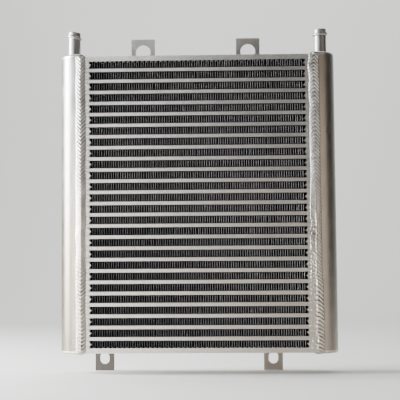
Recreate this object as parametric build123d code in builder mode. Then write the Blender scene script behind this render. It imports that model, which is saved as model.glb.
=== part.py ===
from build123d import *
import os

# Bar-and-plate hydraulic oil cooler, all aluminium, in millimetres.
# Hot oil enters one tank, crosses the flat oil passages to the other tank and leaves by its hose
# port. Air blows through the fin rows along Y. The front face looks along -Y, +Z is up, and the
# origin is the centre of the core. Everything is brazed or welded, so nothing moves.

# Core: fin rows and oil passages by turns, between two side plates
AIR_ROWS = 26
FIN_HEIGHT = 7.6
OIL_BAR_HEIGHT = 2.8
SHEET = 0.6
SIDE_PLATE = 5.2
CORE_DEPTH = 50.0

# Air fins: a corrugated strip in each row, crests up and down by turns
FIN_WAVES = 45
FIN_PITCH = 4.9
FIN_METAL = 0.2
FIN_SETBACK = 0.6
FIN_END_GAP = 0.15

# Bars: each has a pointed nose on its inner side
AIR_BAR_WIDTH = 9.0
AIR_BAR_NOSE = 2.0
AIR_BAR_NOSE_HEIGHT = 3.4
OIL_BAR_WIDTH = 7.0
OIL_BAR_NOSE = 1.2
OIL_BAR_NOSE_HEIGHT = 1.6

# Turbulators: corrugated strips inside the oil passages
TURBULATOR_WAVES = 8
TURBULATOR_METAL = 0.3
TURBULATOR_END_GAP = 3.5
TURBULATOR_SIDE_GAP = 0.4

# Tanks: half-pipe shells with flat welded caps
TANK_RADIUS = 24.0
TANK_WALL = 3.0
TANK_PROJECTION = 22.7
CAP = 3.0
CAP_INSET = 2.2
CAP_OVERHANG = 1.0
CAP_ROUNDING = 1.8

# Hose ports: straight stubs with a rolled bead near the mouth
PORT_X = 130.4
PORT_RADIUS = 6.35
PORT_WALL = 1.6
PORT_TOP = 30.3
PORT_BEAD = 24.4
PORT_BEAD_RADIUS = 1.5
PORT_INSIDE = 4.0
PORT_LIP = 1.2
PORT_TILTS = {"left": 15.0, "right": -5.0}
MOUTH_TILT_SHARE = 0.5

# Mounting tabs: flat plates welded to the back edges of the side plates
TAB_PLATE = 3.0
TAB_CORNER = 0.8
TOP_TAB_WIDTH = 25.5
TOP_TAB_RISE = 26.3
TOP_TAB_HOLE_RADIUS = 8.0
TOP_TAB_HOLE_RISE = 12.0
TOP_TAB_X = {"top_left_tab": -58.7, "top_right_tab": 54.6}
BOTTOM_TAB_WIDTH = 20.0
BOTTOM_TAB_DROP = 21.4
BOTTOM_SLOT_WIDTH = 10.0
BOTTOM_SLOT_LENGTH = 12.5
BOTTOM_SLOT_DROP = 8.35
BOTTOM_TAB_X = {"bottom_left_tab": -101.2, "bottom_right_tab": 78.0}

# Weld beads
SEAM_HALF_WIDTH = 5.3
SEAM_HALF_THICKNESS = 2.4
SEAM_CENTRE_IN = 0.5
TOP_SEAM_HALF_WIDTH = 4.2
TOP_SEAM_HALF_THICKNESS = 3.0
BOTTOM_SEAM_HALF_THICKNESS = 2.0
PORT_WELD_LEG = 2.2
PORT_WELD_BULGE = 0.4
TAB_WELD_LEG = 2.8

# Worked out from the above
OIL_ROWS = AIR_ROWS - 1
OIL_LAYER = OIL_BAR_HEIGHT + 2 * SHEET
ROW_PITCH = FIN_HEIGHT + OIL_LAYER
CORE_HEIGHT = AIR_ROWS * FIN_HEIGHT + OIL_ROWS * OIL_LAYER + 2 * SIDE_PLATE
FIN_SPAN = FIN_WAVES * FIN_PITCH
WINDOW = FIN_SPAN + 2 * (AIR_BAR_NOSE + FIN_METAL / 2 + FIN_END_GAP)
CORE_WIDTH = WINDOW + 2 * AIR_BAR_WIDTH
HALF_WIDTH = CORE_WIDTH / 2
HALF_HEIGHT = CORE_HEIGHT / 2
HALF_DEPTH = CORE_DEPTH / 2
AIR_LEVELS = [((AIR_ROWS - 1) / 2 - row) * ROW_PITCH for row in range(AIR_ROWS)]
OIL_LEVELS = [((OIL_ROWS - 1) / 2 - row) * ROW_PITCH for row in range(OIL_ROWS)]
TANK_CENTRE = HALF_WIDTH + TANK_PROJECTION - TANK_RADIUS
CAP_FLOOR = -HALF_HEIGHT - CAP_OVERHANG
CAP_ROOF = HALF_HEIGHT + CAP
SHELL_FLOOR = CAP_FLOOR + CAP
SIDES = {"left": -1, "right": 1}
FACES = {"front": -1, "rear": 1}

os.makedirs("parts", exist_ok=True)


def corrugation(waves, pitch, height, metal):
    """Closed outline of a square-wave strip centred on the origin, with a leg at each end."""
    start, half, bottom, top = -waves * pitch / 2, pitch / 2, -height / 2, height / 2
    over = [(start - metal / 2, bottom)]
    under = [(start + metal / 2, bottom)]
    for crest in range(2 * waves):
        left = start + crest * half
        right = left + half
        is_high = crest % 2 == 0
        level = top if is_high else bottom + metal
        spread = metal / 2 if is_high else -metal / 2
        over += [(left - spread, level), (right + spread, level)]
        under += [(left + spread, level - metal), (right - spread, level - metal)]
    over.append((-start - metal / 2, top))
    under.append((-start + metal / 2, top))
    return over + under[::-1]


def nosed_bar(width, height, nose, nose_height):
    """Outline of a bar whose outer face is at x = 0 and whose nose points along +x."""
    return [
        (0, -height / 2),
        (width, -height / 2),
        (width, -nose_height / 2),
        (width + nose, 0),
        (width, nose_height / 2),
        (width, height / 2),
        (0, height / 2),
    ]


def mirrored(outline, side):
    """The same outline, turned to run the other way along x for side 1."""
    return [(-side * x, y) for x, y in outline]


def tank_outline(side, radius):
    """In a horizontal sketch: a tank's D-shaped outline, flat against the core's side."""
    with Locations((side * TANK_CENTRE, 0)):
        Circle(radius)
    with Locations((side * (HALF_WIDTH - radius), 0)):
        Rectangle(2 * radius, 2 * radius + 2, mode=Mode.SUBTRACT)


def cut_back_to_neighbours(side):
    """Cuts a weld back to the faces of the core and the tank that it joins."""
    Box(CORE_WIDTH, CORE_DEPTH, CORE_HEIGHT, mode=Mode.SUBTRACT)
    with BuildSketch(Plane.XY.offset(CAP_FLOOR)) as tank_foot:
        tank_outline(side, TANK_RADIUS)
    extrude(tank_foot.sketch, amount=CAP_ROOF - CAP_FLOOR, mode=Mode.SUBTRACT)


def corner_weld(corner, first, second, length):
    """A straight fillet weld of triangular section in the corner between two directions."""
    first, second = Vector(*first), Vector(*second)
    along = first.cross(second)
    start = Vector(*corner) - along * (length / 2)
    with BuildSketch(Plane(origin=start, x_dir=first, z_dir=along)) as section:
        Polygon((0, 0), (TAB_WELD_LEG, 0), (0, TAB_WELD_LEG), align=None)
    extrude(section.sketch, amount=length)


# Air fins, one per row, numbered from the top
fin_outline = corrugation(FIN_WAVES, FIN_PITCH, FIN_HEIGHT, FIN_METAL)
for row, level in enumerate(AIR_LEVELS, start=1):
    with BuildPart() as air_fin:
        with BuildSketch(Plane.XZ):
            with Locations((0, level)):
                Polygon(*fin_outline, align=None)
        extrude(amount=HALF_DEPTH - FIN_SETBACK, both=True)
    air_fin.part.label = f"air_fin_{row:02d}"
    export_step(air_fin.part, f"parts/air_fin_{row:02d}.step")

# Side plates close the core above and below
for name, level in {"top": HALF_HEIGHT, "bottom": -HALF_HEIGHT + SIDE_PLATE}.items():
    with BuildPart() as side_plate:
        with Locations((0, 0, level)):
            Box(CORE_WIDTH, CORE_DEPTH, SIDE_PLATE, align=(Align.CENTER, Align.CENTER, Align.MAX))
    side_plate.part.label = f"{name}_side_plate"
    export_step(side_plate.part, f"parts/{name}_side_plate.step")

# Parting sheets, one above and one below each oil passage
with BuildPart() as parting_sheets:
    sheet_rise = (OIL_BAR_HEIGHT + SHEET) / 2
    with Locations(*[(0, 0, level + up * sheet_rise) for level in OIL_LEVELS for up in (-1, 1)]):
        Box(CORE_WIDTH, CORE_DEPTH, SHEET)
parting_sheets.part.label = "parting_sheets"
export_step(parting_sheets.part, "parts/parting_sheets.step")

# Oil bars close the oil passages along the front and the rear face
oil_bar = nosed_bar(OIL_BAR_WIDTH, OIL_BAR_HEIGHT, OIL_BAR_NOSE, OIL_BAR_NOSE_HEIGHT)
for name, face in FACES.items():
    with BuildPart() as oil_bars:
        with BuildSketch(Plane.YZ):
            with Locations(*[(face * HALF_DEPTH, level) for level in OIL_LEVELS]):
                Polygon(*mirrored(oil_bar, face), align=None)
        extrude(amount=HALF_WIDTH, both=True)
    oil_bars.part.label = f"{name}_oil_bars"
    export_step(oil_bars.part, f"parts/{name}_oil_bars.step")

# Air bars close the ends of the fin rows against the tanks
air_bar = nosed_bar(AIR_BAR_WIDTH, FIN_HEIGHT, AIR_BAR_NOSE, AIR_BAR_NOSE_HEIGHT)
for name, side in SIDES.items():
    with BuildPart() as air_bars:
        with BuildSketch(Plane.XZ):
            with Locations(*[(side * HALF_WIDTH, level) for level in AIR_LEVELS]):
                Polygon(*mirrored(air_bar, side), align=None)
        extrude(amount=HALF_DEPTH, both=True)
    air_bars.part.label = f"{name}_air_bars"
    export_step(air_bars.part, f"parts/{name}_air_bars.step")

# Turbulators, their channels running from tank to tank
passage = CORE_DEPTH - 2 * (OIL_BAR_WIDTH + OIL_BAR_NOSE + TURBULATOR_SIDE_GAP)
turbulator = corrugation(
    TURBULATOR_WAVES, passage / TURBULATOR_WAVES, OIL_BAR_HEIGHT, TURBULATOR_METAL
)
with BuildPart() as oil_turbulators:
    with BuildSketch(Plane.YZ):
        with Locations(*[(0, level) for level in OIL_LEVELS]):
            Polygon(*turbulator, align=None)
    extrude(amount=HALF_WIDTH - TURBULATOR_END_GAP, both=True)
oil_turbulators.part.label = "oil_turbulators"
export_step(oil_turbulators.part, "parts/oil_turbulators.step")

for name, side in SIDES.items():
    # Tank shell: a half pipe whose edges stand on the core's side
    with BuildPart() as tank:
        with BuildSketch(Plane.XY.offset(SHELL_FLOOR)):
            tank_outline(side, TANK_RADIUS)
            with Locations((side * TANK_CENTRE, 0)):
                Circle(TANK_RADIUS - TANK_WALL, mode=Mode.SUBTRACT)
        extrude(amount=HALF_HEIGHT - SHELL_FLOOR)
    tank.part.label = f"{name}_tank"
    export_step(tank.part, f"parts/{name}_tank.step")

    # Top cap, bored for the hose port
    with BuildPart() as top_cap:
        with BuildSketch(Plane.XY.offset(HALF_HEIGHT)):
            tank_outline(side, TANK_RADIUS - CAP_INSET)
            with Locations((side * PORT_X, 0)):
                Circle(PORT_RADIUS, mode=Mode.SUBTRACT)
        extrude(amount=CAP)
    top_cap.part.label = f"{name}_top_cap"
    export_step(top_cap.part, f"parts/{name}_top_cap.step")

    # Bottom cap
    with BuildPart() as bottom_cap:
        with BuildSketch(Plane.XY.offset(CAP_FLOOR)):
            tank_outline(side, TANK_RADIUS - CAP_INSET)
        extrude(amount=CAP)
    bottom_cap.part.label = f"{name}_bottom_cap"
    export_step(bottom_cap.part, f"parts/{name}_bottom_cap.step")

    # Ground-back welds round the curved edge of both caps
    with BuildPart() as cap_welds:
        for floor, outer in ((HALF_HEIGHT, -1), (CAP_FLOOR, 0)):
            with BuildSketch(Plane.XY.offset(floor)):
                tank_outline(side, TANK_RADIUS)
            extrude(amount=CAP)
            rim = edges(Select.LAST).filter_by(GeomType.CIRCLE).sort_by(Axis.Z)[outer]
            fillet(rim, radius=CAP_ROUNDING)
            with BuildSketch(Plane.XY.offset(floor)):
                tank_outline(side, TANK_RADIUS - CAP_INSET)
            extrude(amount=CAP, mode=Mode.SUBTRACT)
    cap_welds.part.label = f"{name}_cap_welds"
    export_step(cap_welds.part, f"parts/{name}_cap_welds.step")

    # Hose port, its bead and mouth rolled a little out of square
    tilt = PORT_TILTS[name]
    with BuildPart() as port:
        foot = HALF_HEIGHT - PORT_INSIDE
        with BuildSketch(Plane.XY.offset(foot)):
            with Locations((side * PORT_X, 0)):
                Circle(PORT_RADIUS)
        extrude(amount=PORT_TOP + 2 * PORT_INSIDE)
        with Locations(Location((side * PORT_X, 0, HALF_HEIGHT + PORT_BEAD), (0, tilt, 0))):
            Torus(PORT_RADIUS, PORT_BEAD_RADIUS)
        mouth = Plane.XY.rotated((0, tilt * MOUTH_TILT_SHARE, 0))
        mouth.origin = (side * PORT_X, 0, HALF_HEIGHT + PORT_TOP)
        split(bisect_by=mouth, keep=Keep.BOTTOM)
        fillet(faces().sort_by(Axis.Z)[-1].edges(), radius=PORT_LIP)
        with BuildSketch(Plane.XY.offset(foot)):
            with Locations((side * PORT_X, 0)):
                Circle(PORT_RADIUS - PORT_WALL)
        extrude(amount=PORT_TOP + 2 * PORT_INSIDE, mode=Mode.SUBTRACT)
    port.part.label = f"{name}_port"
    export_step(port.part, f"parts/{name}_port.step")

    # Seam welds down the front and the rear corner between tank and core
    for face_name, face in FACES.items():
        with BuildPart() as seam_weld:
            with BuildSketch(Plane.XY.offset(-HALF_HEIGHT)):
                with Locations((side * HALF_WIDTH, face * (HALF_DEPTH - SEAM_CENTRE_IN))):
                    Ellipse(SEAM_HALF_WIDTH, SEAM_HALF_THICKNESS)
            extrude(amount=CORE_HEIGHT)
            cut_back_to_neighbours(side)
        seam_weld.part.label = f"{name}_{face_name}_weld"
        export_step(seam_weld.part, f"parts/{name}_{face_name}_weld.step")

    # Seam welds across the top and the bottom, between the caps and the side plates
    with BuildPart() as end_welds:
        for level, thickness in (
            (HALF_HEIGHT, TOP_SEAM_HALF_THICKNESS),
            (-HALF_HEIGHT, BOTTOM_SEAM_HALF_THICKNESS),
        ):
            with BuildSketch(Plane.XZ):
                with Locations((side * HALF_WIDTH, level)):
                    Ellipse(TOP_SEAM_HALF_WIDTH, thickness)
            extrude(amount=HALF_DEPTH - SEAM_CENTRE_IN - SEAM_HALF_THICKNESS, both=True)
        cut_back_to_neighbours(side)
    end_welds.part.label = f"{name}_end_welds"
    export_step(end_welds.part, f"parts/{name}_end_welds.step")

# Port welds, one ring round the foot of each stub
with BuildPart() as port_welds:
    for side in SIDES.values():
        axis_x = side * PORT_X
        with BuildSketch(Plane.XZ):
            with BuildLine():
                inner = (axis_x + PORT_RADIUS, CAP_ROOF)
                outer = (axis_x + PORT_RADIUS + PORT_WELD_LEG, CAP_ROOF)
                upper = (axis_x + PORT_RADIUS, CAP_ROOF + PORT_WELD_LEG)
                Polyline(upper, inner, outer)
                SagittaArc(outer, upper, PORT_WELD_BULGE)
            make_face()
        revolve(axis=Axis((axis_x, 0, 0), (0, 0, 1)))
port_welds.part.label = "port_welds"
export_step(port_welds.part, "parts/port_welds.step")

# Top tabs, with a round hole
for name, centre in TOP_TAB_X.items():
    with BuildPart() as tab:
        with BuildSketch(Plane.XZ.offset(-HALF_DEPTH)):
            with Locations((centre, HALF_HEIGHT - SIDE_PLATE)):
                Rectangle(
                    TOP_TAB_WIDTH,
                    SIDE_PLATE + TOP_TAB_RISE,
                    align=(Align.CENTER, Align.MIN),
                )
            fillet(vertices(), radius=TAB_CORNER)
            with Locations((centre, HALF_HEIGHT + TOP_TAB_HOLE_RISE)):
                Circle(TOP_TAB_HOLE_RADIUS, mode=Mode.SUBTRACT)
        extrude(amount=-TAB_PLATE)
    tab.part.label = name
    export_step(tab.part, f"parts/{name}.step")

# Bottom tabs, with an upright slot
for name, centre in BOTTOM_TAB_X.items():
    with BuildPart() as tab:
        with BuildSketch(Plane.XZ.offset(-HALF_DEPTH)):
            with Locations((centre, -HALF_HEIGHT + SIDE_PLATE)):
                Rectangle(
                    BOTTOM_TAB_WIDTH,
                    SIDE_PLATE + BOTTOM_TAB_DROP,
                    align=(Align.CENTER, Align.MAX),
                )
            fillet(vertices(), radius=TAB_CORNER)
            with Locations((centre, -HALF_HEIGHT - BOTTOM_SLOT_DROP)):
                SlotOverall(
                    BOTTOM_SLOT_LENGTH, BOTTOM_SLOT_WIDTH, rotation=90, mode=Mode.SUBTRACT
                )
        extrude(amount=-TAB_PLATE)
    tab.part.label = name
    export_step(tab.part, f"parts/{name}.step")

# Tab welds: one along each tab's front foot and one up each of its sides
with BuildPart() as tab_welds:
    for tabs, width, up in (
        (TOP_TAB_X, TOP_TAB_WIDTH, 1),
        (BOTTOM_TAB_X, BOTTOM_TAB_WIDTH, -1),
    ):
        edge = up * HALF_HEIGHT
        for centre in tabs.values():
            corner_weld((centre, HALF_DEPTH, edge), (0, -1, 0), (0, 0, up), width)
            for side in SIDES.values():
                corner = (centre + side * width / 2, HALF_DEPTH, edge - up * SIDE_PLATE / 2)
                corner_weld(corner, (side, 0, 0), (0, 1, 0), SIDE_PLATE)
tab_welds.part.label = "tab_welds"
export_step(tab_welds.part, "parts/tab_welds.step")
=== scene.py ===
import math

import bpy
import numpy as np
from mathutils import Matrix, Vector


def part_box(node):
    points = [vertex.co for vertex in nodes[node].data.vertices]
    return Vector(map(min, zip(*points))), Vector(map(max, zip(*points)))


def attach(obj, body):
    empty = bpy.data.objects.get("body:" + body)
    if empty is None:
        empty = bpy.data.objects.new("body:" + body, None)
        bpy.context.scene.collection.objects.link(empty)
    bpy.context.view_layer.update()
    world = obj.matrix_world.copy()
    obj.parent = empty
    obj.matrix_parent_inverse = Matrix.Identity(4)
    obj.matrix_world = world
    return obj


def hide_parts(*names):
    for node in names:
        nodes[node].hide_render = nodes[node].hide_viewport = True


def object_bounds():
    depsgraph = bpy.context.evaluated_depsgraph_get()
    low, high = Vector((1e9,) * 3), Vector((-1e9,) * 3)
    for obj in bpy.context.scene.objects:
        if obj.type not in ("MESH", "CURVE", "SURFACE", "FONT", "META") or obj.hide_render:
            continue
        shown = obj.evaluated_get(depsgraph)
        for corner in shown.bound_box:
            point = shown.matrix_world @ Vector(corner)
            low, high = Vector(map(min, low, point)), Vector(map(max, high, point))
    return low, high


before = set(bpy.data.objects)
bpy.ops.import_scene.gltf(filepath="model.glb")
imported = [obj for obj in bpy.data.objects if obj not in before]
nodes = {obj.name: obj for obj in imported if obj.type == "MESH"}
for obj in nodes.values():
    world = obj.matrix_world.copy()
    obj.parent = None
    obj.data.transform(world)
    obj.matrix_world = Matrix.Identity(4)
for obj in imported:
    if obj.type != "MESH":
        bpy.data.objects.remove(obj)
cad_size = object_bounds()
MM = 0.001

# ---------------------------------------------------------------------------------------------
# Places read from the frame
# ---------------------------------------------------------------------------------------------
sheets_low, sheets_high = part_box("parting_sheets")
CORE_HALF_WIDTH = sheets_high.x
CORE_FRONT = sheets_low.y
CORE_BACK = sheets_high.y
CORE_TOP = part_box("top_side_plate")[1].z
CORE_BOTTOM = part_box("bottom_side_plate")[0].z
SIDE_PLATE = CORE_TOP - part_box("top_side_plate")[0].z
FIN_NODES = sorted(name for name in nodes if name.startswith("air_fin_"))
FIN_LEVELS = [sum(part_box(name), Vector()).z / 2 for name in FIN_NODES]
ROW_PITCH = FIN_LEVELS[0] - FIN_LEVELS[1]
FIN_HALF_HEIGHT = (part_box(FIN_NODES[0])[1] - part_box(FIN_NODES[0])[0]).z / 2
SIDES = {"left": -1, "right": 1}
FACES = {"front": -1, "rear": 1}


def tank_axis(side_name):
    """X of a tank's axis and its outer radius."""
    low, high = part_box(f"{side_name}_tank")
    radius = (high.y - low.y) / 2
    outermost = high.x if SIDES[side_name] > 0 else low.x
    return outermost - SIDES[side_name] * radius, radius


# ---------------------------------------------------------------------------------------------
# Materials
# ---------------------------------------------------------------------------------------------
def add_node(tree, kind, values=None, **settings):
    """A shader node with its settings, and its inputs linked or set."""
    node = tree.nodes.new(kind)
    for setting, value in settings.items():
        setattr(node, setting, value)
    for socket, value in (values or {}).items():
        if isinstance(value, bpy.types.NodeSocket):
            tree.links.new(value, node.inputs[socket])
        else:
            node.inputs[socket].default_value = value
    return node


GLOSS_PATCHES = (14, 14, 14)


class Metal:
    """Aluminium built up in layers: mottled colour, uneven gloss and a fine grain in relief.

    The colour lies between dark and light, by noise patterns that each have a blotch size and a
    weight. The gloss is the least and the greatest roughness. Sizes and the relief are in
    millimetres, along X, Y and Z.
    """

    def __init__(self, name, dark, light, patterns, gloss, grain, relief):
        self.material = bpy.data.materials.new(name)
        self.material.use_nodes = True
        self.tree = self.material.node_tree
        self.shader = self.tree.nodes["Principled BSDF"]
        self.shader.inputs["Metallic"].default_value = 1.0
        self.point = add_node(self.tree, "ShaderNodeTexCoord").outputs["Object"]
        self.axes = add_node(self.tree, "ShaderNodeSeparateXYZ", {0: self.point}).outputs
        shade = 0.5
        for spacing, weight in patterns:
            layer = self.calc("SUBTRACT", self.noise(spacing), 0.5)
            shade = self.calc("MULTIPLY_ADD", layer, weight, shade)
        self.colour = self.mix(self.calc("ADD", shade, 0.0, clamp=True), dark, light)
        least, most = gloss
        patchy = self.noise(GLOSS_PATCHES)
        roughness = add_node(
            self.tree,
            "ShaderNodeMapRange",
            {"Value": patchy, "From Min": 0.3, "From Max": 0.7, "To Min": least, "To Max": most},
        )
        self.tree.links.new(roughness.outputs[0], self.shader.inputs["Roughness"])
        bump = add_node(
            self.tree,
            "ShaderNodeBump",
            {"Height": self.noise(grain), "Strength": 1.0, "Distance": relief * MM},
        )
        self.tree.links.new(bump.outputs[0], self.shader.inputs["Normal"])

    def calc(self, operation, first, second=0.0, third=0.0, clamp=False):
        """The output of a maths node."""
        values = {0: first, 1: second, 2: third}
        node = add_node(
            self.tree, "ShaderNodeMath", values, operation=operation, use_clamp=clamp
        )
        return node.outputs[0]

    def mix(self, factor, first, second, blend="MIX"):
        """The colour between two colours."""
        values = {0: factor, 6: first, 7: second}
        node = add_node(
            self.tree, "ShaderNodeMix", values, data_type="RGBA", blend_type=blend
        )
        return node.outputs[2]

    def noise(self, spacing, detail=4.0):
        """Noise whose blotches are about spacing millimetres wide along X, Y and Z."""
        scale = tuple(1 / (size * MM) for size in spacing)
        placed = add_node(self.tree, "ShaderNodeMapping", {"Vector": self.point, "Scale": scale})
        values = {"Vector": placed.outputs[0], "Scale": 1.0, "Detail": detail}
        return add_node(self.tree, "ShaderNodeTexNoise", values).outputs[0]

    def ramp(self, value, start, end, first=0.0, last=1.0):
        """A smooth rise from first to last as value goes from start to end."""
        values = {
            "Value": value,
            "From Min": start,
            "From Max": end,
            "To Min": first,
            "To Max": last,
        }
        node = add_node(
            self.tree, "ShaderNodeMapRange", values, interpolation_type="SMOOTHSTEP"
        )
        return node.outputs[0]

    def across(self, start, end, first=0.0, last=1.0):
        """A smooth rise from first to last between two places along X."""
        return self.ramp(self.axes[0], start, end, first, last)

    def upward(self, start, end, first=0.0, last=1.0):
        """A smooth rise from first to last between two heights."""
        return self.ramp(self.axes[2], start, end, first, last)

    def tint(self, factor, colour, blend="MIX"):
        """Lays a colour over what is there, as strongly as factor says."""
        self.colour = self.mix(factor, self.colour, colour, blend)

    def paint_shade(self, unshaded):
        """Paints shade: turns the metal black and dull where the given factor falls from 1 to 0."""
        # Painted shade: a near-black colour without metal sheen stands in for the dark inside the
        # core
        self.tint(self.calc("SUBTRACT", 1.0, unshaded), grey(0.004))
        self.tree.links.new(unshaded, self.shader.inputs["Metallic"])
        level = self.calc("MULTIPLY", unshaded, 0.5)
        self.tree.links.new(level, self.shader.inputs["Specular IOR Level"])

    def done(self):
        """Links the colour up and gives the material."""
        self.tree.links.new(self.colour, self.shader.inputs["Base Color"])
        return self.material


def grey(level, warmth=0.0, green=0.0):
    """A colour near grey: warmth adds red and takes blue."""
    return (level * (1 + warmth), level * (1 + green), level * (1 - warmth), 1.0)


def warm_patches(metal, strength):
    """Light brown tarnish that grows towards the bottom, most of all at the right."""
    across = metal.across(-0.12, 0.12, 0.55, 1.0)
    down = metal.upward(0.13, -0.15, 0.2, 1.0)
    patches = metal.ramp(metal.noise((45, 45, 30)), 0.3, 0.7, 0.6, 1.0)
    cover = metal.calc("MULTIPLY", metal.calc("MULTIPLY", across, down), patches)
    metal.tint(metal.calc("MULTIPLY", cover, strength), grey(0.70, 0.18, 0.03))


# How far behind the core's two faces the painted shade begins, and where it is black
SHADE_START = 0.3 * MM
SHADE_FULL = 1.6 * MM


def fin_row_depth(metal):
    """1 at the core's front and rear faces, falling to 0 a little way in."""
    from_middle = metal.calc("ABSOLUTE", metal.axes[1])
    return metal.ramp(from_middle, CORE_BACK - SHADE_FULL, CORE_BACK - SHADE_START)


def blasted_metal():
    """Grit-blasted bars and side plates, darker towards the top right by painted shade."""
    metal = Metal(
        "blasted_bar_metal",
        dark=grey(0.60, 0.012),
        light=grey(1.0, 0.006),
        patterns=[((1.5, 1.5, 1.3), 1.7), ((4, 4, 2.5), 1.0), ((40, 40, 25), 0.6)],
        gloss=(0.46, 0.6),
        grain=(0.45, 0.45, 0.45),
        relief=0.16,
    )
    warm_patches(metal, 0.7)
    # Painted shade: the bars and plates darken towards the top right
    right = metal.across(-0.12, 0.10)
    high = metal.upward(-0.2, 0.15, 0.62, 1.0)
    shade_weight = metal.calc("MULTIPLY", right, high)
    metal.tint(shade_weight, grey(0.48, 0.0, 0.01), "MULTIPLY")
    return metal.done()


# A whole number of rows that keeps the count of rows positive over the core's height
ROWS_BELOW = 100.0
# How far from the fins the painted shade on a sheet's edge begins, and where it is full
RIM_START = 0.55 * MM
RIM_FULL = 0.3 * MM


def sheet_metal():
    """Cut edges of the parting sheets, with painted shade beside the fins and a little way in, and
    the upper sheet of a pair darker by painted shade.
    """
    metal = Metal(
        "sheet_edge_metal",
        dark=grey(0.72, 0.01),
        light=grey(1.0),
        patterns=[((2.2, 2.2, 4), 1.2), ((9, 9, 9), 0.8)],
        gloss=(0.36, 0.52),
        grain=(0.5, 0.5, 0.5),
        relief=0.1,
    )
    rows_up = metal.calc("DIVIDE", metal.axes[2], ROW_PITCH)
    within = metal.calc("FRACT", metal.calc("ADD", rows_up, ROWS_BELOW))
    upper = metal.calc("LESS_THAN", within, 0.5)
    # Painted shade: the upper sheet of each pair is darker
    metal.tint(metal.calc("MULTIPLY", upper, 0.45), grey(0.5, 0.02), "MULTIPLY")
    off_middle = metal.calc("ABSOLUTE", metal.calc("SUBTRACT", within, 0.5))
    from_passage = metal.calc("MULTIPLY", metal.calc("SUBTRACT", 0.5, off_middle), ROW_PITCH)
    half_passage = ROW_PITCH / 2 - FIN_HALF_HEIGHT
    rim = metal.ramp(from_passage, half_passage - RIM_START, half_passage - RIM_FULL)
    # Painted shade: the sheet's edge darkens beside the fins
    metal.tint(rim, grey(0.06, 0.05))
    warm_patches(metal, 0.6)
    # Painted shade: the sheets turn black a little way behind the core's faces
    metal.paint_shade(fin_row_depth(metal))
    return metal.done()


def fin_metal(name, left_shade):
    """Thin fin strip, bright at its cut edges, black with painted shade deeper in and at its
    crests, and darker at the left by painted shade.
    """
    metal = Metal(
        name,
        dark=grey(0.20),
        light=grey(0.46, -0.03),
        patterns=[((3, 3, 5), 0.7), ((22, 22, 22), 1.2)],
        gloss=(0.42, 0.6),
        grain=(0.6, 0.6, 1.2),
        relief=0.05,
    )
    # Painted shade: the strip is darker towards the left
    metal.tint(metal.across(0.12, -0.12), grey(left_shade), "MULTIPLY")
    height = metal.calc("ABSOLUTE", metal.axes[2])
    # Painted shade: darker towards the crests, where the strip meets the sheets
    unshaded_off_crest = metal.ramp(height, FIN_HALF_HEIGHT * 0.76, FIN_HALF_HEIGHT * 0.95, 1.0, 0.1)
    # Painted shade: black a little way behind the core's faces and at the crests
    metal.paint_shade(metal.calc("MULTIPLY", fin_row_depth(metal), unshaded_off_crest))
    return metal.done()


def tank_metal():
    """Rolled tank shell: streaks along its length, stains low at the right, warmer towards the
    right, and painted shade darkening it towards the bottom, most at the left.
    """
    metal = Metal(
        "tank_shell_metal",
        dark=grey(0.28, 0.02),
        light=grey(0.45),
        patterns=[((2.5, 2.5, 120), 0.9), ((12, 12, 60), 0.6), ((30, 30, 30), 0.5)],
        gloss=(0.27, 0.4),
        grain=(0.5, 0.5, 25),
        relief=0.05,
    )
    right = metal.across(0.0, 0.1)
    lowest = metal.upward(-0.07, -0.14)
    blotches = metal.ramp(metal.noise((9, 9, 16)), 0.48, 0.66)
    stains = metal.calc("MULTIPLY", metal.calc("MULTIPLY", right, lowest), blotches)
    metal.tint(metal.calc("MULTIPLY", stains, 0.6), grey(0.42, 0.22, 0.02))
    metal.tint(metal.calc("MULTIPLY", right, 0.5), grey(0.50, 0.13, 0.03))
    # Painted shade: darker and browner towards the bottom, most at the left
    shade_weight = metal.across(0.1, -0.1, 0.3, 0.9)
    lower = metal.upward(0.14, -0.08)
    metal.tint(metal.calc("MULTIPLY", shade_weight, lower), grey(0.17, 0.22, 0.04))
    return metal.done()


def port_metal():
    """Drawn tube of the hose ports, turned smooth round the bead."""
    metal = Metal(
        "port_tube_metal",
        dark=grey(0.33),
        light=grey(0.56),
        patterns=[((1.5, 1.5, 30), 0.4), ((7, 7, 5), 0.4)],
        gloss=(0.38, 0.46),
        grain=(0.5, 0.5, 3),
        relief=0.02,
    )
    return metal.done()


def tab_metal():
    """Mill-finish plate of the mounting tabs: the lower tabs darker and browner, partly a tarnish
    of their own and partly painted shade under the core, the lower left one darkest, and painted
    shade darkening the tabs at the right.
    """
    metal = Metal(
        "tab_plate_metal",
        dark=grey(0.60, 0.04),
        light=grey(0.88, 0.02),
        patterns=[((1.6, 1.6, 1.6), 0.9), ((8, 8, 5), 0.8), ((1.2, 1.2, 30), 0.5)],
        gloss=(0.42, 0.56),
        grain=(0.5, 0.5, 1.0),
        relief=0.08,
    )
    # The lower tabs darken, partly their own tarnish and partly painted shade under the core, the
    # lower left one most
    low = metal.upward(0.05, -0.05)
    metal.tint(metal.calc("MULTIPLY", low, 0.8), grey(0.42, 0.13, 0.01))
    left = metal.across(0.0, -0.08)
    low_left = metal.calc("MULTIPLY", low, left)
    metal.tint(metal.calc("MULTIPLY", low_left, 0.85), grey(0.075, 0.06))
    # Painted shade: the tabs at the right are darker
    metal.tint(metal.across(0.0, 0.08), grey(0.7, 0.02), "MULTIPLY")
    return metal.done()


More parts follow.
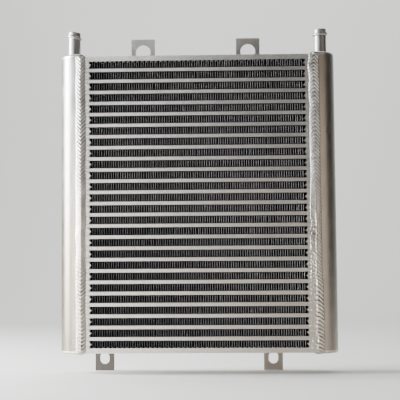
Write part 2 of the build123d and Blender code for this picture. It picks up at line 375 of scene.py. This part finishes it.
def weld_metal(name, sooty):
    """Weld bead: bright silver, with a dull heat-tinted film that gathers in patches."""
    metal = Metal(
        name,
        dark=grey(0.58, 0.02),
        light=grey(0.95),
        patterns=[((1.2, 1.2, 1.2), 0.8), ((5, 5, 7), 1.2)],
        gloss=(0.26, 0.42),
        grain=(0.35, 0.35, 0.35),
        relief=0.06,
    )
    metal.tint(metal.upward(0.12, -0.12, 0.0, 0.75), grey(0.58, 0.19, 0.04))
    film = metal.ramp(metal.noise((6, 6, 16)), 0.42, 0.66)
    metal.tint(metal.calc("MULTIPLY", film, sooty), grey(0.40, 0.09, 0.01))
    # The grooves between the ripples are darkened, partly an oxide of their own and partly painted
    # shade
    marks = add_node(metal.tree, "ShaderNodeAttribute", attribute_name="groove")
    metal.tint(metal.calc("MULTIPLY", marks.outputs["Fac"], 0.75), grey(0.13, 0.08))
    return metal.done()


def hidden_metal():
    """Plain braze-clad strip of the turbulators, inside the oil passages."""
    metal = Metal(
        "turbulator_metal",
        dark=grey(0.35),
        light=grey(0.55),
        patterns=[((3, 3, 3), 1.0)],
        gloss=(0.45, 0.6),
        grain=(0.6, 0.6, 0.6),
        relief=0.05,
    )
    return metal.done()


def coat(material, *names):
    """Gives CAD nodes a material."""
    for name in names:
        slots = nodes[name].data.materials
        slots.clear()
        slots.append(material)


weld_finish = weld_metal("weld_bead_metal", 0.55)
ground_weld_finish = weld_metal("ground_weld_metal", 0.15)
high_fin_finish = fin_metal("fin_strip_metal", 0.68)
# Painted shade: a copy of the fin metal that is darker at the left, for the lower rows
shaded_fin_finish = fin_metal("shaded_fin_strip_metal", 0.42)
coat(
    blasted_metal(),
    "front_oil_bars",
    "rear_oil_bars",
    "left_air_bars",
    "right_air_bars",
    "top_side_plate",
    "bottom_side_plate",
)
coat(sheet_metal(), "parting_sheets")
coat(hidden_metal(), "oil_turbulators")
coat(
    tank_metal(),
    *[f"{side}_{part}" for side in SIDES for part in ("tank", "top_cap", "bottom_cap")],
)
coat(ground_weld_finish, "left_cap_welds", "right_cap_welds")
coat(port_metal(), "left_port", "right_port")
coat(tab_metal(), "top_left_tab", "top_right_tab", "bottom_left_tab", "bottom_right_tab")


# ---------------------------------------------------------------------------------------------
# Pieces
# ---------------------------------------------------------------------------------------------
def smooth(value):
    """Eases from 0 to 1 as value does, which is first cut to that range."""
    value = np.clip(value, 0, 1)
    return value**2 * (3 - 2 * value)


def make_weld(name, points, grooves, faces, replaced):
    """A weld piece on the frame that stands for a CAD node, its valleys marked for the material."""
    mesh = bpy.data.meshes.new(name)
    mesh.from_pydata(points.tolist(), [], faces)
    mesh.materials.append(weld_finish)
    marks = mesh.attributes.new("groove", "FLOAT", "POINT")
    marks.data.foreach_set("value", grooves.astype(np.float32))
    mesh.shade_smooth()
    piece = bpy.data.objects.new(name, mesh)
    bpy.context.scene.collection.objects.link(piece)
    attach(piece, "root")
    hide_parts(replaced)


# Air fins: thin strips with round crests, waved from side to side along the depth
FIN_WAVES = 45
FIN_METAL = 0.24 * MM
FIN_VARIANTS = 6
FIN_SEED = 100
LEG_JITTER = 0.045 * MM
CREST_ROUNDING = 0.75 * MM
CREST_STEPS = 2
SWAY = 1.5 * MM
SWAYS = 3
STRAIGHT_END = 5 * MM
# A strip's cross-sections: how many steps apart its two faces are, the share of the spacing that
# follows a sine, which crowds them at the faces, and the turn each way that the sine covers
DEPTH_STEPS = 18
CROWDING = 0.25
CROWDING_TURN = 0.999 * math.pi / 2
# Legs bent at the two faces: the usual spread, the share that is bent further and the limits,
# in millimetres, and how deep a bend reaches
BEND_SPREAD = 0.08
BEND_FURTHER = 0.6
BEND_SHARE = 0.025
BEND_LIMITS = (-0.6, 0.7)
BEND_DEPTH = 5 * MM
# The outermost legs lean outwards, deeper in, to close the row against its air bars
END_LEG_POINTS = (-0.7, -0.5, -0.3, -0.1, 0.1, 0.3, 0.5, 0.7)
END_BULGE = 1.6 * MM
NOSE_HALF_HEIGHT = 1.9 * MM
WRAP_START = 2 * MM
WRAP_END = 7 * MM
CALM_END = 4 * MM
# Below this height the strips get the fin metal whose painted shade at the left is darker
LOW_ROWS_TOP = -0.02


def fin_section(rng, half_span, half_height):
    """Centre line of one strip across its row, with the leg that each point belongs to."""
    legs = 2 * FIN_WAVES + 1
    last = legs - 1
    pitch = 2 * half_span / last
    places = np.linspace(-half_span, half_span, legs)
    places[1:-1] += rng.normal(0, LEG_JITTER, legs - 2)
    reach = half_height - FIN_METAL / 2
    rounding = min(CREST_ROUNDING, 0.45 * pitch)
    turns = np.linspace(0, math.pi / 2, CREST_STEPS + 1)
    points, owner = [(places[0], -reach)], [0]
    for leg in range(last):
        climb = 1 if leg % 2 == 0 else -1
        for up in END_LEG_POINTS if leg == 0 else (0.0,):
            points.append((places[leg], climb * up * half_height))
            owner.append(leg)
        for corner, way in ((leg, 1), (leg + 1, -1)):
            for turn in turns[::way]:
                across = places[corner] + way * rounding * (1 - math.cos(turn))
                up = climb * (reach - rounding * (1 - math.sin(turn)))
                points.append((across, up))
                owner.append(corner)
    climb = 1 if last % 2 == 0 else -1
    for up in END_LEG_POINTS:
        points.append((places[last], climb * up * half_height))
        owner.append(last)
    points.append((places[last], climb * reach))
    owner.append(last)
    return np.array(points), np.array(owner)


def fin_rings(rng, outline, owners, depths, half_span, half_height):
    """The strip's outline at each depth, swayed, with a few legs bent at the two faces."""
    half_depth = depths[-1]
    legs = owners.max() + 1
    bends = {}
    for face in (-1, 1):
        bent = rng.normal(0, BEND_SPREAD, legs) + BEND_FURTHER * (rng.random(legs) < BEND_SHARE)
        bends[face] = np.clip(bent, *BEND_LIMITS) * MM
    calm = np.clip((half_span - np.abs(outline[:, 0])) / CALM_END, 0, 1)
    belly = 1 - (outline[:, 1] / half_height) ** 2
    end_sides = (owners == owners.max()).astype(float) - (owners == 0)
    round_nose = np.clip(np.abs(outline[:, 1]) / NOSE_HALF_HEIGHT, 0, 1)
    rings = []
    for depth in depths:
        buried = half_depth - abs(depth)
        sway = SWAY * math.sin(math.pi * SWAYS * depth / half_depth) * smooth(buried / STRAIGHT_END)
        wrap = np.clip((buried - WRAP_START) / (WRAP_END - WRAP_START), 0, 1)
        ring = np.empty((len(outline), 3))
        ring[:, 0] = outline[:, 0] + sway
        ring[:, 0] += end_sides * wrap * (SWAY + END_BULGE * round_nose - abs(sway))
        ring[:, 1] = depth
        ring[:, 2] = outline[:, 1]
        for face, bend in bends.items():
            near = math.exp(-(half_depth - face * depth) / BEND_DEPTH)
            ring[:, 0] += bend[owners] * belly * near * calm
        rings.append(ring)
    return rings


def fin_mesh(name, finish, seed, half_span, half_depth, half_height):
    """One fin strip as a closed mesh about the origin."""
    rng = np.random.default_rng(seed)
    line, owner = fin_section(rng, half_span, half_height)
    ahead = np.gradient(line, axis=0)
    ahead /= np.linalg.norm(ahead, axis=1, keepdims=True)
    offset = np.stack([-ahead[:, 1], ahead[:, 0]], axis=1) * FIN_METAL / 2
    outline = np.concatenate([line + offset, (line - offset)[::-1]])
    owners = np.concatenate([owner, owner[::-1]])
    even = np.linspace(-half_depth, half_depth, DEPTH_STEPS + 1)
    turns = np.linspace(-CROWDING_TURN, CROWDING_TURN, DEPTH_STEPS + 1)
    depths = (1 - CROWDING) * even + CROWDING * half_depth * np.sin(turns)
    depths[[0, -1]] = -half_depth, half_depth
    rings = fin_rings(rng, outline, owners, depths, half_span, half_height)
    size = len(outline)
    around = np.arange(size)
    after = (around + 1) % size
    faces = []
    for ring in range(DEPTH_STEPS):
        a, b = ring * size, (ring + 1) * size
        faces += np.stack([a + around, b + around, b + after, a + after], axis=1).tolist()
    inner = np.arange(size // 2 - 1)
    ends = np.stack([inner, inner + 1, size - 2 - inner, size - 1 - inner], axis=1)
    faces += ends.tolist()
    faces += (DEPTH_STEPS * size + ends[:, ::-1]).tolist()
    mesh = bpy.data.meshes.new(name)
    mesh.from_pydata(np.concatenate(rings).tolist(), [], faces)
    mesh.materials.append(finish)
    mesh.shade_smooth()
    return mesh


def build_fins():
    """Every row's fin, from a few strips that were each folded a little differently."""
    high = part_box(FIN_NODES[0])[1]
    half_span = high.x - SWAY
    strips = {
        finish: [
            fin_mesh(f"{name}_{kind}", finish, FIN_SEED + kind, half_span, high.y, FIN_HALF_HEIGHT)
            for kind in range(FIN_VARIANTS)
        ]
        for name, finish in (("fin_strip", high_fin_finish), ("shaded_fin_strip", shaded_fin_finish))
    }
    for row, (node, level) in enumerate(zip(FIN_NODES, FIN_LEVELS)):
        # The lower rows take the fin metal with the darker painted shade
        finish = shaded_fin_finish if level < LOW_ROWS_TOP else high_fin_finish
        variant = (row * 5 + row // FIN_VARIANTS) % FIN_VARIANTS
        piece = bpy.data.objects.new(f"waved_{node}", strips[finish][variant])
        piece.location.z = level
        bpy.context.scene.collection.objects.link(piece)
        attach(piece, "root")
        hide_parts(node)


# Weld beads: a row of overlapping ripples between two toes
STEPS_PER_RIPPLE = 9
# How far the ripples wander from even spacing, in ripples, and how much their heights differ
RIPPLE_DRIFT = 0.35
RIPPLE_UNEVEN = 0.12
# A bead's two ends, in ripples, and how much of the crown is left there
END_RIPPLES = 1.3
END_CROWN = 0.35
# How much wider a bead is at a ripple's top, and the share of a half width that fades at its toes
TOE_SWELL = 0.09
TOE_FADE = 0.2
# Below this share of a ripple's height the groove mark starts, and where it is full
GROOVE_START = 0.9
GROOVE_FULL = 0.15
# A lumpy half keeps this share of the crown and rises over this share of a half width
LUMPY_CROWN = 0.45
LUMPY_RISE = 0.7

# The seams down the core's corners. Strengths and bends run from the bottom up.
SEAM_PITCH = 4.0 * MM
SEAM_CHEVRON = 6.3 * MM
SEAM_RIPPLE = 1.15 * MM
SEAM_RIDGE = 1.45
# How far the crown stays inside the CAD weld, which leaves room for the ripples
SEAM_SPARE = 0.5 * MM
SEAM_ROOT_DEPTH = 2 * MM
SEAM_COLUMNS = 21
SEAM_STRENGTHS = (0.8, 0.6, 0.75, 0.35, 0.2, 0.3, 0.7, 0.9, 1.15, 1.15, 1.15)
SEAM_BENDS = (2.2, 1.5, 1.15, 1.15, 1.15, 1.15, 1.15)
SEAM_KNOTS = 24
SEAM_WANDER = 0.22 * MM
SEAM_SWELL = 0.25 * MM
ROUGH_EDGE = 0.45 * MM
LUMPS = 900
LUMP_LENGTH = (0.7 * MM, 1.8 * MM)
LUMP_WIDTH = (0.12, 0.3)
LUMP_HEIGHT = 0.24 * MM
# For each seam, from the bottom up: how lumpy its core side is, and how much wider its two toes
# lie towards the core and over the tank, in millimetres
SEAM_LUMPS = {"left": (0.0, 0.0), "right": (1.0, 1.0, 0.8, 0.9, 0.3, 0.0, 0.0, 0.0)}
SEAM_INNER_SPREAD = {"left": (0.3, 0.0, 0.2, 0.0), "right": (1.6, 1.2, 0.6, 0.2, 0.0, 0.3, 0.0)}
SEAM_OUTER_SPREAD = {"left": (0.4, 0.0, 0.0, 0.0), "right": (1.6, 1.4, 0.6, 0.0, 0.0, 0.0, 0.0)}


def ripple_profile(phase):
    """Height across the ripples, from 0 in a groove to 1: a steep start and a long rounded fall."""
    part = phase - np.floor(phase)
    return np.sin(math.pi * part**0.7) ** 0.8


def lump_field(s, u, rng):
    """Smooth random lumps over a bead, a millimetre or two across."""
    field = np.zeros((len(s), len(u)))
    for _ in range(LUMPS):
        at, over = rng.uniform(s[0], s[-1]), rng.uniform(-1, 0.4)
        long, wide = rng.uniform(*LUMP_LENGTH), rng.uniform(*LUMP_WIDTH)
        away = ((s - at) / long)[:, None] ** 2 + ((u - over) / wide)[None, :] ** 2
        field += rng.uniform(-LUMP_HEIGHT, LUMP_HEIGHT) * np.exp(-away)
    return field


def along(values, s, length):
    """Values spread evenly over a bead's length, read at the distances s."""
    return np.interp(s, np.linspace(0, length, len(values)), values)


def bead_faces(rows, ring, closed):
    """Faces of a bead whose sections have ring points each, with flat ends if it isn't closed."""
    faces = []
    around = np.arange(ring)
    after = (around + 1) % ring
    for row in range(rows if closed else rows - 1):
        a, b = row * ring, ((row + 1) % rows) * ring
        faces += np.stack([a + around, a + after, b + after, b + around], axis=1).tolist()
    if not closed:
        faces.append(list(range(ring))[::-1])
        faces.append(list(range((rows - 1) * ring, rows * ring)))
    return faces


def bead(
    length,
    places,
    pitch,
    chevron,
    crown,
    ripple,
    rng,
    columns=13,
    closed=False,
    strengths=(1.0, 1.0),
    ridge=2.3,
    bends=(1.15, 1.15),
    lumps=(0.0, 0.0),
):
    """Points, groove marks and faces of a bead.

    places(s) gives, for distances s along the bead, its two toes, its outward direction and its
    root, each as an array. chevron is how far a ripple's middle leads its ends. Along the bead,
    strengths say how high the ripples stand, bends how rounded their chevrons are and lumps how
    lumpy the first half of its width is. A low ridge number makes a sharper ridge.
    """
    rows = max(8, int(round(length / (pitch / STEPS_PER_RIPPLE))))
    s = np.linspace(0, length, rows, endpoint=not closed)
    u = np.linspace(-1, 1, columns)
    knots = max(4, int(length / (6 * pitch)) + 2)
    drift = along(rng.normal(0, RIPPLE_DRIFT, knots), s, length)
    force = along(strengths, s, length)
    if closed:
        count = s / length * max(1, round(length / pitch))
        force[:] = 1.0
    else:
        count = s / pitch + drift
        fade = np.clip(np.minimum(s, length - s) / (END_RIPPLES * pitch), 0, 1)
        crown = crown * (END_CROWN + (1 - END_CROWN) * np.sqrt(1 - (1 - fade) ** 2))

    bend = along(bends, s, length)[:, None]
    lead = chevron / pitch / np.sqrt(bend) * np.abs(u)[None, :] ** bend
    ripples = int(count.max()) + 3
    uneven = np.interp(count, np.arange(ripples), rng.normal(0, RIPPLE_UNEVEN, ripples))
    wave = ripple_profile(count[:, None] - lead) * (1 + uneven[:, None])

    lumpy = along(lumps, s, length)[:, None]
    even = 1 - np.clip(lumpy, 0, 1) * np.clip(0.5 - 2 * u, 0, 1)[None, :]
    force = force[:, None] * even
    toe_fade = np.clip((1 - np.abs(u)) / TOE_FADE, 0, 1)[None, :]
    height = np.asarray(crown).reshape(-1, 1) * (1 - np.abs(u) ** ridge)[None, :]
    low_rise = LUMPY_CROWN * smooth((1 - np.abs(u)) / LUMPY_RISE)
    height = height * (even + low_rise * (1 - even))
    height = height + (wave - 0.5) * ripple * force * toe_fade
    if lumpy.any():
        height = height + lumpy * lump_field(s, u, rng) * toe_fade * (1 - even)

    toe_a, toe_b, out, root = places(s)
    blend = (u[None, :] * (1 + TOE_SWELL * (wave - 0.5)) + 1) / 2
    top = (
        toe_a[:, None, :] * (1 - blend)[:, :, None]
        + toe_b[:, None, :] * blend[:, :, None]
        + out[:, None, :] * height[:, :, None]
    )
    points = np.concatenate([top, root[:, None, :]], axis=1)
    marks = np.clip((GROOVE_START - wave) / (GROOVE_START - GROOVE_FULL), 0, 1)
    grooves = marks * np.clip(force, 0, 1)
    grooves = np.concatenate([grooves, np.zeros((rows, 1))], axis=1)
    return points.reshape(-1, 3), grooves.reshape(-1), bead_faces(rows, columns + 1, closed)


def tile(vector, count):
    """The same vector for each place along a bead."""
    return np.tile(np.array(vector, float), (count, 1))


def seam_bead(side_name, face_name, seed):
    """The vertical bead over the joint between the core's corner and a tank."""
    side, face = SIDES[side_name], FACES[face_name]
    low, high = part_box(f"{side_name}_{face_name}_weld")
    axis_x, radius = tank_axis(side_name)
    half_width = (high.x - low.x) / 2
    middle = side * CORE_HALF_WIDTH
    core_face = face * abs(CORE_FRONT)
    reach = max(abs(low.y), abs(high.y))
    inner = middle - side * half_width
    outer = middle + side * half_width
    tank_face = face * math.sqrt(radius**2 - (outer - axis_x) ** 2)
    crown = reach - abs(core_face + tank_face) / 2
    rng = np.random.default_rng(seed)
    length = high.z - low.z
    wander = rng.normal(0, SEAM_WANDER, SEAM_KNOTS)
    spread = rng.normal(0, SEAM_SWELL, SEAM_KNOTS)
    edge = rng.normal(0, ROUGH_EDGE, 5 * SEAM_KNOTS)

    def places(s):
        z = low.z + s if side < 0 else high.z - s
        shift = along(wander, s, length)
        swell = along(spread, s, length)
        rough = along(edge, s, length) * along(SEAM_LUMPS[side_name], z - low.z, length)
        inner_spread = along(SEAM_INNER_SPREAD[side_name], z - low.z, length) * MM
        outer_spread = along(SEAM_OUTER_SPREAD[side_name], z - low.z, length) * MM
        inner_x = inner + shift - side * (swell + inner_spread + rough)
        outer_x = outer + shift + side * (swell + outer_spread)
        outer_y = face * np.sqrt(radius**2 - (outer_x - axis_x) ** 2)
        toe_a = np.stack([inner_x, np.full_like(z, core_face), z], axis=1)
        toe_b = np.stack([outer_x, outer_y, z], axis=1)
        buried = np.full_like(z, core_face - face * SEAM_ROOT_DEPTH)
        root = np.stack([np.full_like(z, middle), buried, z], axis=1)
        return toe_a, toe_b, tile((0, face, 0), len(s)), root

    way = 1 if side < 0 else -1
    made = bead(
        length,
        places,
        pitch=SEAM_PITCH,
        chevron=SEAM_CHEVRON,
        crown=crown - SEAM_SPARE,
        ripple=SEAM_RIPPLE,
        rng=rng,
        columns=SEAM_COLUMNS,
        strengths=SEAM_STRENGTHS[::way],
        ridge=SEAM_RIDGE,
        bends=SEAM_BENDS[::way],
        lumps=SEAM_LUMPS[side_name][::way],
    )
    make_weld(f"rippled_{side_name}_{face_name}_weld", *made, f"{side_name}_{face_name}_weld")


def joined(parts):
    """Several beads as one."""
    points, grooves, faces, start = [], [], [], 0
    for part_points, part_grooves, part_faces in parts:
        points.append(part_points)
        grooves.append(part_grooves)
        faces += [[start + index for index in face] for face in part_faces]
        start += len(part_points)
    return np.concatenate(points), np.concatenate(grooves), faces


# A small bead's root lies this deep in its corner, and its chevrons lean by this share of a pitch
FILLET_ROOT_DEPTH = 0.4 * MM
FILLET_LEAN = 0.8


def fillet_bead(start, end, first, second, legs, crown, pitch, ripple, rng):
    """A straight bead in the corner between two directions, with a leg along each."""
    start, end = np.array(start, float), np.array(end, float)
    first, second = np.array(first, float), np.array(second, float)
    length = float(np.linalg.norm(end - start))

    def places(s):
        at = start + (end - start) * (s / length)[:, None]
        out = tile((first + second) / np.linalg.norm(first + second), len(s))
        root = at - out * FILLET_ROOT_DEPTH
        return at + first * legs[0], at + second * legs[1], out, root

    return bead(length, places, pitch, -pitch * FILLET_LEAN, crown, ripple, rng, columns=9)


def end_beads(side_name, seed):
    """The beads across a tank's top and bottom, between its caps and the side plates."""
    side = SIDES[side_name]
    low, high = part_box(f"{side_name}_end_welds")
    cap_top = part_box(f"{side_name}_top_cap")[1].z
    cap_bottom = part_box(f"{side_name}_bottom_cap")[0].z
    rng = np.random.default_rng(seed)
    corner_x = side * CORE_HALF_WIDTH
    reach = abs((low.x if side > 0 else high.x) - corner_x)
    pitch = 2.6 * MM
    top = fillet_bead(
        start=(corner_x, low.y, CORE_TOP),
        end=(corner_x, high.y, CORE_TOP),
        first=(-side, 0, 0),
        second=(0, 0, 1),
        legs=(reach, cap_top - CORE_TOP),
        crown=0.9 * MM,
        pitch=pitch,
        ripple=0.45 * MM,
        rng=rng,
    )
    length = high.y - low.y

    def places(s):
        way = s[:, None] * np.array([0.0, 1.0, 0.0])
        toe_a = np.array([corner_x - side * reach, low.y, CORE_BOTTOM]) + way
        toe_b = np.array([corner_x + side * reach, low.y, cap_bottom]) + way
        root = np.array([corner_x, low.y, CORE_BOTTOM + 1.5 * MM]) + way
        return toe_a, toe_b, tile((0, 0, -1), len(s)), root

    bottom = bead(
        length,
        places,
        pitch=pitch,
        chevron=-2.5 * MM,
        crown=1.2 * MM,
        ripple=0.4 * MM,
        rng=rng,
        columns=11,
    )
    make_weld(f"rippled_{side_name}_end_welds", *joined([top, bottom]), f"{side_name}_end_welds")


def port_bead(side_name, rng):
    """The ring bead round the foot of one hose port."""
    side = SIDES[side_name]
    low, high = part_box("port_welds")
    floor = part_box(f"{side_name}_top_cap")[1].z
    weld_radius = (high.y - low.y) / 2
    leg = high.z - floor
    tube = weld_radius - leg
    outermost = high.x if side > 0 else low.x
    centre = np.array([outermost - side * weld_radius, 0, floor])
    up = np.array([0, 0, 1.0])
    around = 2 * math.pi * (tube + leg / 2)
    root_depth = 0.3 * MM

    def places(s):
        turn = s / around * 2 * math.pi
        radial = np.stack([np.cos(turn), np.sin(turn), np.zeros_like(turn)], axis=1)
        out = (radial + up) / math.sqrt(2)
        toe_a = centre + radial * (tube + leg)
        toe_b = centre + radial * tube + up * leg
        root = centre + radial * (tube - root_depth) - up * root_depth
        return toe_a, toe_b, out, root

    return bead(
        around,
        places,
        pitch=2.3 * MM,
        chevron=-1.2 * MM,
        crown=0.55 * MM,
        ripple=0.4 * MM,
        rng=rng,
        columns=9,
        closed=True,
    )


def port_beads(seed):
    """The ring beads round the feet of the hose ports."""
    rng = np.random.default_rng(seed)
    parts = [port_bead(side_name, rng) for side_name in SIDES]
    make_weld("rippled_port_welds", *joined(parts), "port_welds")


def tab_beads(seed):
    """The beads along each tab's front foot and up its two sides."""
    rng = np.random.default_rng(seed)
    leg, crown, pitch, ripple = 2.8 * MM, 0.35 * MM, 2.4 * MM, 0.4 * MM
    inset = 0.3 * MM
    parts = []
    for tab in ("top_left_tab", "top_right_tab", "bottom_left_tab", "bottom_right_tab"):
        up = 1 if tab.startswith("top") else -1
        low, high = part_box(tab)
        edge = CORE_TOP if up > 0 else CORE_BOTTOM
        start, end = (low.x + inset, CORE_BACK, edge), (high.x - inset, CORE_BACK, edge)
        foot = ((0, -1, 0), (0, 0, up), (leg, leg))
        parts.append(fillet_bead(start, end, *foot, crown, pitch, ripple, rng))
        for side, x in ((-1, low.x), (1, high.x)):
            start, end = (x, CORE_BACK, edge), (x, CORE_BACK, edge - up * SIDE_PLATE)
            flank = ((side, 0, 0), (0, 1, 0), (leg, leg))
            parts.append(fillet_bead(start, end, *flank, crown, pitch, ripple, rng))
    make_weld("rippled_tab_welds", *joined(parts), "tab_welds")


build_fins()
for number, (side_name, face_name) in enumerate([(s, f) for s in SIDES for f in FACES]):
    seam_bead(side_name, face_name, 11 + number)
end_beads("left", 21)
end_beads("right", 22)
port_beads(31)
tab_beads(41)


# ---------------------------------------------------------------------------------------------
# Stage: floor, light and camera
# ---------------------------------------------------------------------------------------------
FLOOR_HALF_WIDTH = 6.0
FLOOR_FRONT = -6.0
BACKDROP_AT = 1.75
BACKDROP_CURVE = 0.7
BACKDROP_TOP = 2.6


def build_floor():
    """A pale floor that curves up into a backdrop."""
    level = cad_size[0].z
    profile = [(FLOOR_FRONT, level), (0.0, level)]
    for turn in np.linspace(0, math.pi / 2, 13):
        profile.append(
            (
                BACKDROP_AT - BACKDROP_CURVE + BACKDROP_CURVE * math.sin(turn),
                level + BACKDROP_CURVE * (1 - math.cos(turn)),
            )
        )
    profile.append((BACKDROP_AT, level + BACKDROP_TOP))
    points = [(x, y, z) for y, z in profile for x in (-FLOOR_HALF_WIDTH, FLOOR_HALF_WIDTH)]
    faces = [(2 * i, 2 * i + 1, 2 * i + 3, 2 * i + 2) for i in range(len(profile) - 1)]
    mesh = bpy.data.meshes.new("floor")
    mesh.from_pydata(points, [], faces)
    mesh.shade_smooth()
    paint = bpy.data.materials.new("floor_paint")
    paint.use_nodes = True
    shader = paint.node_tree.nodes["Principled BSDF"]
    shader.inputs["Base Color"].default_value = (0.8, 0.8, 0.79, 1)
    shader.inputs["Roughness"].default_value = 0.8
    mesh.materials.append(paint)
    floor = bpy.data.objects.new("floor", mesh)
    bpy.context.scene.collection.objects.link(floor)


def area_light(name, place, aim, size, power, colour):
    """A rectangular light that shines along aim."""
    light = bpy.data.lights.new(name, "AREA")
    light.shape = "RECTANGLE"
    light.size, light.size_y = size
    light.energy = power
    light.color = colour
    lamp = bpy.data.objects.new(name, light)
    lamp.location = place
    lamp.rotation_euler = aim.to_track_quat("-Z", "Y").to_euler()
    bpy.context.scene.collection.objects.link(lamp)


def softbox(name, place, target, size, power, colour):
    """A studio light aimed at a point; its back lights the floor behind it, which stays pale."""
    aim = Vector(target) - Vector(place)
    area_light(name, place, aim, size, power, colour)
    area_light(f"{name}_back", place, -aim, size, power, colour)


def build_lights():
    """Softboxes at the left and the front left, a weak warm one, a light over the backdrop."""
    softbox("side_light", (-0.91, 0.0, 0.24), (-0.13, 0, 0.08), (0.36, 0.7), 48, (1.0, 1.0, 1.0))
    softbox(
        "front_light", (-0.62, -0.58, -0.28), (-0.04, 0, -0.04), (0.5, 0.8), 21, (1.0, 0.985, 0.96)
    )
    softbox("warm_light", (1.0, -0.8, -0.27), (0.12, 0, -0.04), (1.0, 1.1), 4.3, (1.0, 0.82, 0.68))
    down = Vector((0, 0.75, -1.5))
    area_light("backdrop_light", (0, 0.6, 1.6), down, (1.6, 0.8), 27, (1.0, 1.0, 1.0))
    world = bpy.data.worlds.new("studio")
    world.use_nodes = True
    background = world.node_tree.nodes["Background"]
    background.inputs["Color"].default_value = (0.8, 0.82, 0.83, 1)
    background.inputs["Strength"].default_value = 0.04
    bpy.context.scene.world = world


CAMERA_PLACE = (0.0207, -1.2949, -0.0638)
CAMERA_AZIMUTH = math.radians(2.311)
CAMERA_RISE = math.radians(4.5)
CAMERA_ROLL = math.radians(-0.370)


def build_camera():
    """A long lens almost square to the front face, a little below its middle."""
    camera = bpy.data.objects.new("camera", bpy.data.cameras.new("camera"))
    camera.data.lens = 110.8
    camera.data.sensor_width = 36
    camera.data.shift_x = 0.08
    camera.data.shift_y = -0.08
    camera.data.clip_start = 0.05
    camera.matrix_world = (
        Matrix.Translation(CAMERA_PLACE)
        @ Matrix.Rotation(CAMERA_AZIMUTH, 4, "Z")
        @ Matrix.Rotation(math.pi / 2 + CAMERA_RISE, 4, "X")
        @ Matrix.Rotation(CAMERA_ROLL, 4, "Z")
    )
    bpy.context.scene.collection.objects.link(camera)
    bpy.context.scene.camera = camera


build_floor()
build_lights()
build_camera()
